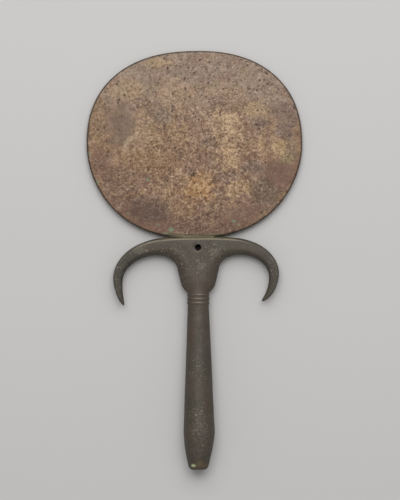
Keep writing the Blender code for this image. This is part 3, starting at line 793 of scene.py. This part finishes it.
class Finish:
    """A material that is built up from fields, with its colour so far."""

    def __init__(self, name):
        self.material = bpy.data.materials.new(name)
        self.material.use_nodes = True
        self.tree = self.material.node_tree
        self.shader = self.tree.nodes["Principled BSDF"]
        self.place = self.node("ShaderNodeTexCoord", output="Object")
        self.x, self.y = (self.node("ShaderNodeSeparateXYZ", {}, {0: self.place}, axis)
                          for axis in "XY")
        self.broken = self.cloud(0.0036, 8.0, 0.78, shift=5.0)
        self.grain = self.cloud(0.00125, 4.0, 0.78, shift=8.0)

    def node(self, kind, settings=None, sockets=None, output=0):
        """Add a node: its settings first, then a value or a link for each socket."""
        made = self.tree.nodes.new(kind)
        for name, value in (settings or {}).items():
            setattr(made, name, value)
        self.fill(made, sockets or {})
        return Field(self, made.outputs[output])

    def fill(self, node, sockets):
        """Link a field to a node's socket, or set the socket to a plain value."""
        for name, value in sockets.items():
            if isinstance(value, Field):
                self.tree.links.new(value.socket, node.inputs[name])
            else:
                node.inputs[name].default_value = value

    def measure(self, name):
        """A number that is stored on the piece's points."""
        return self.node("ShaderNodeAttribute", {"attribute_name": name}, {}, "Fac")

    def spread(self, size, shift):
        """Coordinates in steps of a size, shifted so that no two layers are alike."""
        return self.node("ShaderNodeMapping", {}, {
            "Vector": self.place, "Location": (shift, shift * 0.7, shift * 0.4),
            "Scale": (1.0 / size,) * 3})

    def cloud(self, grain, detail=3.0, roughness=0.55, shift=0.0):
        """Soft noise around one half, with features about one grain wide."""
        return self.node("ShaderNodeTexNoise", {}, {
            "Vector": self.spread(grain, shift), "Scale": 1.0, "Detail": detail,
            "Roughness": roughness})

    def dots(self, spacing, size, share, shift=0.0):
        """Small spots, 1 in the middle and 0 outside, in a share of the cells of a lattice."""
        cells = {"Vector": self.spread(spacing, shift), "Scale": 1.0}
        near = self.node("ShaderNodeTexVoronoi", {}, cells, "Distance")
        kind = self.node("ShaderNodeTexVoronoi", {}, cells, "Color")
        pick = self.node("ShaderNodeSeparateColor", {}, {0: kind}, "Red")
        reach = size / spacing
        return (1.0 - near.rise(reach * 0.4, reach)) * (1.0 - pick.rise(share - 0.01, share + 0.01))

    def patch(self, spot, ragged=1.2, soft=0.24, turn=0.0):
        """A ragged oval: distance from the spot's middle in its half sizes, disturbed by the two
        noises of the finish, so that the edge falls apart into islands. A spot is its place across
        and up, its half width and its half height, and it can be turned, in degrees."""
        x, y, width, height = (number * MILLIMETRE for number in spot)
        across, up = self.x - x, self.y - y
        if turn:
            side, rise = math.cos(math.radians(turn)), math.sin(math.radians(turn))
            across, up = across * side + up * rise, up * side - across * rise
        across, up = across / width, up / height
        away = (across * across + up * up) ** 0.5
        torn = (self.broken - 0.5) * (2.0 * ragged) + (self.grain - 0.5) * 1.1
        return 1.0 - (away + torn).rise(0.9 - soft, 0.9 + soft)

    def any_patch(self, spots):
        """The strongest of several patches."""
        found = self.patch(spots[0])
        for spot in spots[1:]:
            found = found.larger(self.patch(spot))
        return found

    def blend(self, mask, under, over, mode="MIX"):
        """Lay one colour over another where the mask is 1."""
        settings = {"data_type": "RGBA", "blend_type": mode}
        return self.node("ShaderNodeMix", settings, {0: mask, 6: under, 7: over}, 2)

    def coat(self, mask, red, green, blue):
        """Lay a screen colour over the colour so far."""
        self.colour = self.blend(mask, self.colour, shade(red, green, blue))

    def stain(self, mode, mask, *light):
        """Multiply the colour so far by light values, or add them."""
        self.colour = self.blend(mask, self.colour, (*light, 1.0), mode)

    def feed(self, **sockets):
        """Fill the shader's own sockets; underscores stand for spaces."""
        self.fill(self.shader, {name.replace("_", " "): value for name, value in sockets.items()})

    def bump(self, height, depth):
        """Tilt the shading by a height field; the depth is in metres."""
        return self.node("ShaderNodeBump", {},
                         {"Height": height, "Distance": depth, "Strength": 1.0}, "Normal")

    def dress(self, piece):
        """Make this the only material of a piece."""
        piece.data.materials.clear()
        piece.data.materials.append(self.material)
        print(piece.name, "wears", self.material.name, "of", len(self.tree.nodes), "nodes")


print("a finish can make:", [name for name in vars(Finish) if not name.startswith("_")])

# %% [markdown]
# ## Finish of the disk
# The disk is tan where the old polish survives, and red-brown below, with golden patches where the
# metal shows, grey stains, fine dark speckle and a few specks of green. The broad colours are
# blended up the disk first, between two heights in metres. They turn pinkish grey near the top,
# partly the bronze's own tone and partly painted sheen of the light from above.

# %% Disk: broad colours, with painted sheen towards the top
f = Finish("disk bronze")
height = (f.y + (f.cloud(0.030, 4.0, 0.6) - 0.5) * 0.070).rise(0.015, 0.122)
# the ramp grows lighter and greyer up the disk: partly its own tone, partly painted sheen of the
# light from above
f.colour = f.blend(height.rise(0.0, 0.40), shade(120, 92, 76), shade(140, 111, 86))
f.coat(height.rise(0.35, 0.65), 146, 120, 97)
f.coat(height.rise(0.60, 1.0), 148, 130, 117)
print("nodes after the broad colours:", len(f.tree.nodes))

# %% [markdown]
# Mottling comes next: clouds of rosy brown, gold and dark brown with broken edges. The worn brown
# skin and the golden metal under it meet like land and water on a map, at every size. The gold is
# strongest round the middle of the disk.

# %% Disk: mottling
MIDDLE_HEIGHT, MIDDLE_REACH = 0.055, 0.050
skin = f.cloud(0.013, 7.0, 0.68, shift=3.0).rise(0.47, 0.58)
f.coat(skin * (0.70 - height * 0.35), 116, 88, 74)
rosy = f.cloud(0.016, 5.0, 0.65, shift=13.0).rise(0.50, 0.62)
f.coat(rosy * 0.40, 144, 112, 100)
gold = f.cloud(0.0085, 8.0, 0.74, shift=7.0).rise(0.52, 0.58)
from_middle = (f.y - MIDDLE_HEIGHT) / MIDDLE_REACH
middle = 1.0 - (from_middle * from_middle).rise(0.2, 1.0)
f.coat(gold * (0.20 + middle * 0.40), 164, 136, 102)
dark = f.cloud(0.0060, 7.0, 0.72, shift=11.0).rise(0.53, 0.60)
f.coat(dark * 0.50, 100, 78, 64)
print("nodes after the mottling:", len(f.tree.nodes))

# %% [markdown]
# The patches that give this disk its face: golden metal at the middle, grey stains on the left, a
# violet stain at the right edge, and dark smooth stretches at the lower left and right. Each row is
# a spot in millimetres, how ragged it is, how strong, and its colour.

# %% Disk: patches
DISK_PATCHES = [
    ((-42.6, 78.3, 7.5, 12.5), 1.5, 0.70, (114, 97, 84)),
    ((-17.7, 83.5, 6.5, 5.0), 1.2, 0.60, (112, 100, 88)),
    ((-24.5, 100.0, 6.5, 4.0), 1.2, 0.55, (116, 106, 96)),
    ((-30.0, 112.0, 12.0, 6.0), 1.4, 0.45, (142, 126, 108)),
    ((0.0, 108.0, 18.0, 8.0), 1.4, 0.45, (138, 122, 112)),
    ((-40.0, 99.0, 12.0, 7.0), 1.2, 0.55, (166, 142, 112)),
    ((-14.0, 100.0, 10.0, 7.0), 1.2, 0.45, (164, 140, 116)),
    ((-25.0, 70.0, 7.0, 12.0), 1.5, 0.40, (140, 116, 84)),
    ((-56.0, 80.0, 5.0, 14.0), 1.2, 0.45, (138, 116, 84)),
    ((-24.0, 56.0, 16.0, 8.0), 1.4, 0.68, (129, 97, 66)),
    ((-45.0, 47.8, 9.5, 8.5), 1.4, 0.60, (108, 82, 62)),
    ((-54.0, 56.0, 7.0, 9.0), 1.0, 0.60, (110, 80, 65)),
    ((-25.8, 28.4, 13.0, 9.0), 1.1, 0.85, (93, 71, 60)),
    ((-29.0, 18.0, 8.0, 6.0), 0.8, 0.60, (112, 82, 70)),
    ((40.9, 40.6, 8.5, 10.5), 1.3, 0.72, (102, 87, 71)),
    ((50.0, 50.0, 10.0, 8.5), 0.7, 0.72, (115, 87, 75)),
    ((26.0, 26.0, 12.0, 6.0), 0.7, 0.60, (118, 90, 77)),
    ((6.0, 20.0, 24.0, 7.0), 1.2, 0.72, (109, 80, 67)),
    ((42.0, 23.0, 7.0, 5.0), 1.3, 0.50, (138, 118, 86)),
    ((34.5, 53.4, 8.0, 4.8), 1.8, 0.50, (112, 97, 92)),
    ((51.9, 74.0, 5.6, 4.6), 1.8, 0.55, (106, 92, 92)),
    ((38.0, 80.0, 5.6, 3.2), 1.8, 0.60, (102, 84, 78)),
    ((52.5, 83.0, 7.8, 11.0), 1.2, 0.65, (118, 97, 91)),
    ((10.0, 68.0, 7.0, 6.0), 1.9, 0.45, (110, 95, 88)),
    ((20.0, 48.0, 8.0, 4.5), 1.2, 0.55, (116, 92, 84)),
    ((1.5, 42.3, 11.0, 9.0), 1.6, 0.70, (164, 128, 88)),
    ((-6.0, 30.0, 8.0, 7.0), 1.6, 0.45, (152, 120, 86)),
    ((25.2, 41.2, 7.0, 4.6), 1.6, 0.70, (168, 140, 104)),
    ((34.5, 87.6, 7.6, 4.6), 1.6, 0.60, (166, 142, 108)),
    ((55.0, 65.0, 5.6, 9.0), 1.2, 0.65, (112, 92, 74)),
    ((48.8, 65.5, 4.6, 5.4), 1.5, 0.90, (168, 143, 107)),
    ((53.5, 59.0, 4.6, 2.6), 2.8, 0.42, (150, 140, 104)),
    ((-21.7, 114.3, 8.0, 3.0), 2.0, 0.60, (170, 147, 115)),
    ((18.5, 83.0, 7.8, 3.6), 2.2, 0.80, (170, 147, 117)),
    ((21.2, 76.0, 4.0, 6.0), 2.3, 0.80, (176, 151, 124)),
    ((16.5, 70.5, 5.0, 3.6), 2.0, 0.70, (170, 145, 118)),
    ((17.2, 63.2, 4.4, 2.6), 1.6, 0.85, (184, 154, 122)),
    ((21.8, 57.4, 4.6, 3.4), 2.0, 0.75, (178, 150, 116)),
    ((-2.6, 51.0, 3.6, 2.6), 1.9, 0.80, (88, 68, 56)),
    ((-6.5, 44.5, 3.0, 3.6), 2.0, 0.60, (98, 78, 66)),
    ((12.0, 59.0, 6.0, 8.0), 2.0, 0.40, (112, 88, 76)),
    ((16.0, 100.0, 9.0, 5.0), 1.9, 0.35, (160, 139, 118)),
]

for spot, ragged, strength, tint in DISK_PATCHES:
    f.coat(f.patch(spot, ragged) * strength, *tint)
print("patches on the disk:", len(DISK_PATCHES))

# %% [markdown]
# Pale veins wander over the middle of the disk. A vein runs where a noise crosses its middle value,
# so the distance of the noise from one half gives a thin line that bends and breaks with the noise.
# The scratches in the grey stain on the left are thin patches, turned to lie aslant.

# %% Disk: veins and scratches
VEINED = [
    ((20.0, 72.0, 11.0, 17.0), 0.95),
    ((5.0, 40.0, 30.0, 18.0), 0.50),
    ((-26.0, 56.0, 24.0, 20.0), 0.35),
    ((-13.0, 90.0, 20.0, 14.0), 0.30),
]
SCRATCHES = [
    ((-39.6, 67.7, 1.1, 4.6), -28.0),
    ((-34.5, 72.2, 1.0, 5.2), -40.0),
    ((-36.6, 70.0, 0.7, 4.0), -38.0),
]

wander = f.cloud(0.0052, 6.0, 0.66, shift=17.0)
line = 1.0 - (wander - 0.5).size().rise(0.006, 0.030)
for spot, strength in VEINED:
    f.coat(line * f.patch(spot, 0.9, 0.4) * strength, 184, 158, 128)
for spot, turn in SCRATCHES:
    f.coat(f.patch(spot, 1.1, 0.5, turn) * 0.62, 170, 150, 128)
print("veined stretches:", len(VEINED), "and scratches:", len(SCRATCHES))

# %% [markdown]
# Speckle is what makes it old metal. Flecks and a finer grain both darken and lighten the colour,
# strongest round the golden middle and weak on the smooth stretches, and a few places are dappled.
# Then come dark pinpricks, pale ones, and the brown dirt in the pits.

# %% Disk: speckle and pits
SMOOTH = [
    (-42.6, 78.3, 8.0, 14.0),
    (-28.0, 23.0, 14.0, 12.0),
    (50.0, 50.0, 11.0, 9.0),
    (26.0, 26.0, 14.0, 7.0),
]
DAPPLED = [
    (20.0, 71.0, 11.0, 17.0),
    (50.0, 64.0, 7.0, 7.0),
    (26.0, 41.5, 8.0, 5.0),
]

strength = 0.60 + f.patch((0.0, 55.0, 50.0, 40.0), 0.8, 0.5) * 0.40
strength = strength * (1.0 - f.any_patch(SMOOTH) * 0.6)
dapple = f.cloud(0.0020, 5.0, 0.72, shift=31.0)
for spot in DAPPLED:
    there = f.patch(spot)
    f.coat(dapple.rise(0.53, 0.60) * there * 0.60, 112, 84, 72)
    f.coat((1.0 - dapple).rise(0.52, 0.60) * there * 0.55, 194, 168, 134)
flecks = f.cloud(0.0030, 5.0, 0.72, shift=25.0)
f.stain("MULTIPLY", flecks.rise(0.53, 0.62) * strength, 0.58, 0.52, 0.44)
f.stain("ADD", (1.0 - flecks).rise(0.53, 0.62) * strength, 0.075, 0.060, 0.043)
f.stain("MULTIPLY", f.grain.rise(0.50, 0.68) * strength, 0.38, 0.30, 0.19)
f.stain("ADD", (1.0 - f.grain).rise(0.50, 0.68) * strength, 0.165, 0.130, 0.098)
pitted = f.patch((22.0, 100.0, 45.0, 26.0), 0.6, 0.5) * 0.45 + 0.35
f.coat(f.dots(0.0024, 0.00055, 0.50, shift=2.0) * pitted, 74, 56, 46)
f.coat(f.dots(0.0036, 0.00085, 0.30, shift=6.0) * pitted, 84, 64, 54)
f.coat(f.dots(0.0042, 0.00060, 0.35, shift=9.0) * 0.50, 190, 167, 136)
f.coat(f.measure("pit").rise(0.03, 0.40) * 0.85, 62, 48, 41)
print("nodes after the speckle:", len(f.tree.nodes))

# %% [markdown]
# Green specks sit near the rim. Corrosion has gathered along the seam with the handle as a crust,
# and the pale fill in the joint itself is partly crust and partly painted light that lifts the
# joint's shade. The rim all round is rusty brown.

# %% Disk: green specks, seam and rim
GREEN_SPECKS = [
    ((-13.6, 17.4, 1.4, 1.8), 0.90),
    ((-16.5, 15.0, 2.4, 0.9), 0.50),
    ((22.9, 22.6, 1.3, 1.0), 0.70),
    ((25.5, 20.5, 1.2, 0.6), 0.50),
    ((-27.0, 46.7, 1.1, 1.0), 0.80),
    ((-56.5, 45.2, 0.9, 1.2), 0.75),
    ((-61.0, 61.2, 0.8, 1.4), 0.60),
    ((-38.5, 27.0, 0.9, 0.7), 0.60),
    ((-21.0, 20.5, 1.2, 0.6), 0.55),
    ((6.0, 12.5, 12.0, 0.6), 0.45),
]

for spot, strength in GREEN_SPECKS:
    f.coat(f.patch(spot, 1.6, 0.4) * strength, 118, 138, 112)
seam = f.measure("seam")
crust = f.blend(f.broken.rise(0.45, 0.58), shade(84, 74, 60), shade(102, 100, 78))
f.colour = f.blend((seam + (f.grain - 0.5) * 0.8).rise(0.30, 0.55) * 0.9, f.colour, crust)
# partly crust, partly painted light: the pale fill lifts the shade in the joint with the head
f.coat(seam.rise(0.80, 0.98) * 0.8, 176, 170, 146)
rust = f.blend(f.broken.rise(0.46, 0.60), shade(70, 57, 49), shade(96, 90, 76))
rim = (f.measure("rim") + (f.grain - 0.5) * 0.5).rise(0.22, 0.42) * (1.0 - seam.rise(0.10, 0.45))
f.colour = f.blend(rim * 0.70, f.colour, rust)
# painted shade: the inside of the rivet hole is painted near black
f.coat(f.measure("hole"), 14, 11, 8)
print("green specks:", len(GREEN_SPECKS))

# %% [markdown]
# Four measures are stored on the points, because they follow the piece and not space: how deep the
# pits are, how near the rim and the seam are, and where the rivet hole is, whose inside is painted
# dark as its shade. They are worked out again from the finished mesh, so the Boolean cuts don't
# disturb them.

# %% Disk: measures on the points
RIM_BAND, SEAM_BAND, SEAM_FADE = 0.0014, 0.0030, 0.008
hole_middle = (HANDLE_OFFSET, disk_bottom - RIVET_BELOW_DISK)


def stamp(piece, name, values):
    """Store one number for each point of a piece."""
    layer = piece.data.attributes.new(name, "FLOAT", "POINT")
    layer.data.foreach_set("value", np.asarray(values, np.float32))


def in_hole(points):
    """1 inside the rivet hole and just under its mouth, 0 elsewhere."""
    inside = np.linalg.norm(points[:, :2] - hole_middle, axis=1) < RIVET_DIAMETER / 2 * 1.01
    return inside & (points[:, 2] < HEAD_THICKNESS / 2 - 0.0007)


def near_axis(points, reach):
    """1 out to a distance from the handle's axis, fading to 0 beyond."""
    return 1.0 - ease((np.abs(points[:, 0] - HANDLE_OFFSET) - reach) / SEAM_FADE)


in_drawing = pick_up(points_of(disk))
on_disk = turned(in_drawing - (0.0, disk_centre, 0.0), -DISK_TURN)[:, :2]
outline = oval(ROUND)
to_rim = distance_to(on_disk, np.concatenate([outline, outline[:1]]))
over_seat = in_drawing[:, 1] - (crest_height - BEAM_HEIGHT)
near_seat = 1.0 - np.clip(over_seat / SEAM_BAND, 0.0, 1.0)
stamp(disk, "pit", disk_pits(on_disk))
stamp(disk, "rim", 1.0 - np.clip(to_rim / RIM_BAND, 0.0, 1.0))
stamp(disk, "hole", in_hole(in_drawing))
stamp(disk, "seam", near_seat * near_axis(in_drawing, 0.016))
print("points at the rim:", int((to_rim < RIM_BAND).sum()), "of", len(to_rim))

# %% [markdown]
# Worn bronze shines in patches, so the roughness follows a cloud, and the golden middle is a little
# more metallic. A fine grit tilts the shading, finer than the mesh could carry.

# %% Disk: gloss and fine bump
gloss_cloud = f.cloud(0.006, 3.0, 0.6, shift=9.0)
golden = f.patch((1.5, 42.3, 11.0, 9.5), 1.1)
grit = f.cloud(0.0009, 4.0, 0.7, shift=4.0)
f.feed(Base_Color=f.colour, Metallic=0.45 + golden * 0.2, Roughness=0.44 + gloss_cloud * 0.22,
       Normal=f.bump(grit + gloss_cloud * 0.5, 0.00006))
f.dress(disk)

# %% [markdown]
# ## Finish of the handle
# The handle kept a dark olive-brown skin, browner at the head, with pale specks of corrosion in
# clusters, a crust along the seam that is made paler partly as painted light against the shade of
# the joint, and a light green chip at the butt.

# %% Handle: skin and specks
HANDLE_PATCHES = [
    ((-42.0, -6.0, 11.0, 24.0), 0.6, 0.65, (62, 63, 53)),
    ((46.0, -4.0, 12.0, 24.0), 0.6, 0.60, (68, 66, 56)),
    ((2.0, -1.0, 13.0, 10.0), 0.9, 0.65, (86, 74, 66)),
    ((3.0, -18.0, 9.0, 12.0), 0.9, 0.65, (92, 79, 69)),
    ((-32.2, 6.9, 3.6, 2.8), 2.2, 0.50, (114, 112, 94)),
    ((11.9, 4.6, 3.6, 3.0), 2.2, 0.50, (114, 110, 96)),
    ((25.0, 6.0, 8.0, 3.0), 1.5, 0.40, (102, 100, 80)),
    ((4.2, -3.3, 2.4, 2.2), 2.2, 0.45, (118, 112, 98)),
    ((-2.2, -43.0, 3.0, 8.0), 1.2, 0.35, (96, 76, 68)),
    ((6.8, -84.0, 3.0, 6.0), 1.2, 0.35, (96, 76, 68)),
    ((3.0, -119.0, 5.0, 3.0), 1.2, 0.60, (112, 95, 72)),
    ((-16.0, 7.8, 12.0, 3.5), 0.9, 0.70, (78, 69, 57)),
    ((30.0, 7.0, 10.0, 4.0), 0.9, 0.50, (78, 72, 60)),
    ((-0.6, -118.8, 1.3, 1.0), 0.7, 0.95, (192, 203, 168)),
]
SPECK_CLUSTERS = [
    (-7.8, -4.7, 8.0, 8.0),
    (-32.2, 6.9, 8.0, 5.0),
    (-12.0, 5.0, 10.0, 5.0),
    (2.0, -3.0, 6.0, 6.0),
    (13.0, 4.0, 8.0, 6.0),
    (2.0, -62.0, 5.0, 11.0),
    (3.0, -96.0, 6.5, 17.0),
    (-45.0, -9.0, 5.0, 12.0),
    (47.0, -5.0, 5.0, 12.0),
]

f = Finish("handle bronze")
broad = f.cloud(0.016, 5.0, 0.6, shift=1.0)
f.colour = f.blend(broad.rise(0.38, 0.62), shade(80, 75, 65), shade(90, 80, 72))
f.coat(f.cloud(0.006, 6.0, 0.70, shift=6.0).rise(0.50, 0.62) * 0.5, 75, 72, 60)
for spot, ragged, strength, tint in HANDLE_PATCHES:
    f.coat(f.patch(spot, ragged) * strength, *tint)
f.stain("MULTIPLY", f.grain.rise(0.50, 0.70) * 0.60, 0.60, 0.58, 0.55)
f.stain("ADD", (1.0 - f.grain).rise(0.50, 0.70) * 0.55, 0.045, 0.042, 0.034)
specks = f.cloud(0.0010, 3.0, 0.74, shift=21.0).rise(0.585, 0.66)
f.coat(specks * (0.05 + f.any_patch(SPECK_CLUSTERS) * 0.62), 178, 173, 158)
# partly crust, partly painted light: the seam facet under the disk is made paler to lift its shade
f.coat((f.measure("seam") + (f.grain - 0.5) * 0.8).rise(0.30, 0.60) * 0.85, 132, 126, 104)
print("patches on the handle:", len(HANDLE_PATCHES), "and clusters:", len(SPECK_CLUSTERS))

# %% [markdown]
# The rivet hole has a lip drawn only in colour: painted shade of a dent on its upper left and a
# painted highlight on its lower edge, with the inside of the hole painted dark as its shade. Both
# marks lie on a ring, which is the distance from the hole's middle less the ring's own radius,
# near zero.

# %% Handle: painted shade and highlight round the rivet hole
LIP_RADIUS = RIVET_DIAMETER / 2 * 1.40
mouth_x, mouth_y, _ = lay([*hole_middle, HEAD_THICKNESS / 2]).tolist()
aside, above = f.x - mouth_x, f.y - mouth_y
off_lip = (aside * aside + above * above) ** 0.5 - LIP_RADIUS
lip = 1.0 - off_lip.size().rise(0.0002, 0.0006)
to_upper_left = above * 0.57 - aside * 0.82
# painted shade of a dent on the upper left of the lip
f.coat(lip * to_upper_left.rise(0.0020, 0.0025) * 0.95, 34, 29, 22)
# painted highlight on the lower edge of the lip
f.coat(lip * (0.0 - above).rise(0.0008, 0.0022) * 0.45, 132, 122, 106)
# painted shade: the inside of the hole is painted dark brown
f.coat(f.measure("hole"), 46, 34, 20)
print("mouth of the hole at", round(mouth_x, 4), round(mouth_y, 4))

# %% [markdown]
# High edges are made paler, partly as rubbed wear and partly as a painted highlight where they
# catch
# the light from above: the arris between facet and face, most of all over the head, and the crests
# of the rings at the front. How near a point is to them is worked out in the handle's own drawing,
# as a bell curve round the arris and a high power of a sine over the rings.

# %% Handle: rubbed edges and painted highlight, gloss and fine bump
in_drawing = pick_up(points_of(handle))
on_handle = turned(in_drawing - (HANDLE_OFFSET, 0.0, 0.0), -HANDLE_LEAN) + (0.0, BEAM_HEIGHT, 0.0)
to_crest = distance_to(on_handle[:, :2], upper)
arris_at = FACET_SHARE * BEAM_DEPTH
on_front = in_drawing[:, 2] > 0.0
near_arris = np.exp(-(((to_crest - arris_at * 1.10) / (arris_at * 0.26)) ** 2)) * on_front
# the wear and painted highlight on the arris fade out along the horns
near_arris *= 1.0 - ease((np.abs(in_drawing[:, 0] + 0.0015) - 0.023) / 0.012) * 0.85
ring_crest = np.sin(math.pi * (on_handle[:, 1] - GRIP_TOP) / RING_PITCH) ** 8
on_rings = (on_handle[:, 1] > GRIP_TOP) & (on_handle[:, 1] < ring_band_top)
at_front = np.exp(-((on_handle[:, 0] / 0.0030) ** 2)) * on_front
stamp(handle, "rubbed", np.maximum(near_arris, ring_crest * on_rings * at_front * 0.6))
stamp(handle, "seam", (to_crest < arris_at * 0.85) * near_axis(in_drawing, 0.018))
stamp(handle, "hole", in_hole(in_drawing))
patchy = f.cloud(0.005, 3.0, 0.6, shift=12.0)
# partly rubbed wear, partly painted highlight along the arris and the ring crests
f.coat(f.measure("rubbed") * (0.35 + patchy.rise(0.20, 0.55) * 0.55), 172, 164, 146)
grit = f.cloud(0.0010, 4.0, 0.7, shift=2.0)
f.feed(Base_Color=f.colour, Metallic=0.25, Roughness=0.50 + patchy * 0.22,
       Normal=f.bump(grit + patchy * 0.6, 0.00005))
f.dress(handle)

# %% [markdown]
# ## Floor, light and camera
# The photograph was taken over pale grey card. A flat sheet does for it, wide enough to fill any
# view, with a faint cloud in its grey. It is staged, because it isn't part of the mirror.

# %% Floor
FLOOR_HALF = 1.5
floor_mesh = bpy.data.meshes.new("floor")
floor_mesh.from_pydata([(x, y, 0.0) for x, y in square(FLOOR_HALF)], [], [(0, 1, 2, 3)])
floor = in_scene("floor", floor_mesh)
card = Finish("pale card")
greys = [shade(red, green, blue, 1.0) for red, green, blue in ((191, 189, 187), (186, 184, 182))]
card.feed(Base_Color=card.blend(card.cloud(0.0008, 2.0) * 0.3, *greys), Roughness=0.9)
card.dress(floor)

# %% [markdown]
# Two wide soft lights stand beyond the top of the disk, one low and one high, and give the soft
# shadow below each edge. A dim even sky fills the shadows.

# %% Lights and sky
SKY_COLOUR, SKY_STRENGTH = (0.98, 0.99, 1.0, 1.0), 0.42


def soft_light(name, place, width, height, power):
    """A rectangular area light that faces the origin."""
    lamp = bpy.data.lights.new(name, "AREA")
    lamp.shape, lamp.size, lamp.size_y, lamp.energy = "RECTANGLE", width, height, power
    thing = in_scene(name, lamp)
    thing.location = place
    thing.rotation_euler = (-Vector(place)).to_track_quat("-Z", "Y").to_euler()
    thing.visible_camera = False
    print(name, "is", round(Vector(place).length, 2), "m away and gives", power, "W")


soft_light("light_bank", (0.04, 0.70, 0.85), 1.3, 0.5, 4.6)
soft_light("lamp_above", (0.0, 0.40, 1.25), 1.1, 0.5, 8.6)
sky = bpy.data.worlds.new("sky")
sky.use_nodes = True
backdrop = sky.node_tree.nodes["Background"]
backdrop.inputs["Color"].default_value = SKY_COLOUR
backdrop.inputs["Strength"].default_value = SKY_STRENGTH
bpy.context.scene.world = sky
bpy.context.scene.view_settings.view_transform = "Standard"

# %% [markdown]
# The camera looks straight down through a long lens, so the disk keeps its outline. Its distance
# follows from how many metres one pixel of the picture spans at the height of the mirror.

# %% Camera
PHOTO_HEIGHT = 500
METRES_PER_PIXEL = 0.00058
VIEW_CENTRE = (0.0032, 0.0058)
LENS, SENSOR = 300.0, 36.0
PLANE_HEIGHT = 0.0055
lens_distance = PHOTO_HEIGHT * METRES_PER_PIXEL * LENS / SENSOR
camera = bpy.data.cameras.new("camera")
camera.lens, camera.sensor_width = LENS, SENSOR
viewer = in_scene("camera", camera)
viewer.location = (*VIEW_CENTRE, lens_distance + PLANE_HEIGHT)
bpy.context.scene.camera = viewer
print("camera", round(lens_distance, 3), "m above the mirror")

# %% [markdown]
# ## Join the pieces to the frame
# Both pieces ride on the one body and hide the solid that they stand for.

# %% Attach the pieces and hide the solids
for piece, node, slot in ((disk, "mirror_disk", "disk_bronze"),
                          (handle, "handle", "handle_bronze")):
    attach(piece, "root")
    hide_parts(node)
